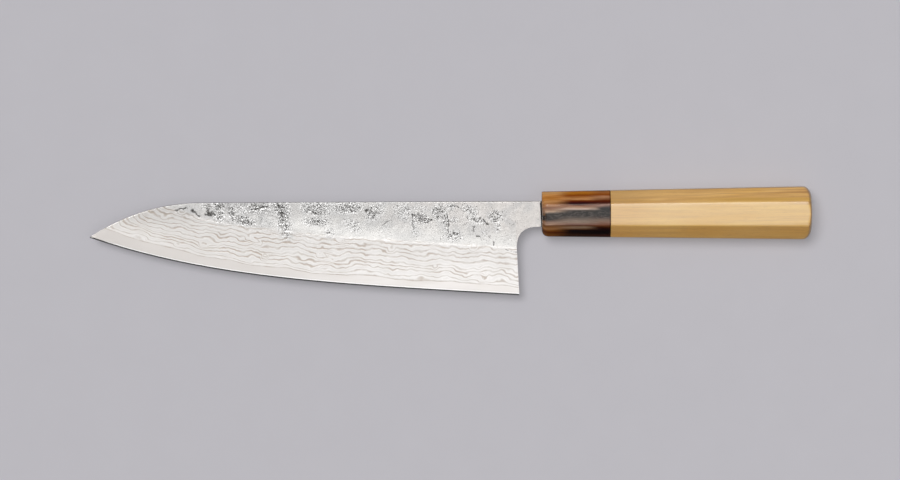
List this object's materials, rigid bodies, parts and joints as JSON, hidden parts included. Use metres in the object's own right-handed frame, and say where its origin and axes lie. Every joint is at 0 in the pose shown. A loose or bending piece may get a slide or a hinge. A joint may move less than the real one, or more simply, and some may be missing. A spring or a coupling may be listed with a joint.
{
  "type": "chef knife",
  "caption": "Chef knife lying flat: layered-steel blade with a half-hammered face, octagonal light wood handle and horn ferrule.",
  "frame": {"origin": "middle of the ferrule's front face, on the handle's axis and the blade's mid-plane", "axes": "+X along the handle's axis to the butt, +Y from the edge to the spine, +Z out of the blade's left face"},
  "size_m": [0.3524, 0.0525, 0.0204],
  "materials": {
    "core_steel": "fine satin, polished bevel",
    "layered_steel": "etched wavy layers on the ground part, rough hammered skin above",
    "horn": "polished marbled horn",
    "light_wood": "smooth, thinly oiled",
    "dowel_wood": "unfinished",
    "epoxy": "cured epoxy",
    "seal": "black sealing wax"
  },
  "bodies": {
    "root": {"blade_core": "core_steel", "cladding_left": "layered_steel", "cladding_right": "layered_steel", "ferrule": "horn", "handle_body": "light_wood", "ferrule_dowel": "dowel_wood", "tang_bedding": "epoxy", "mouth_seal": "seal"}
  },
  "joints": []
}
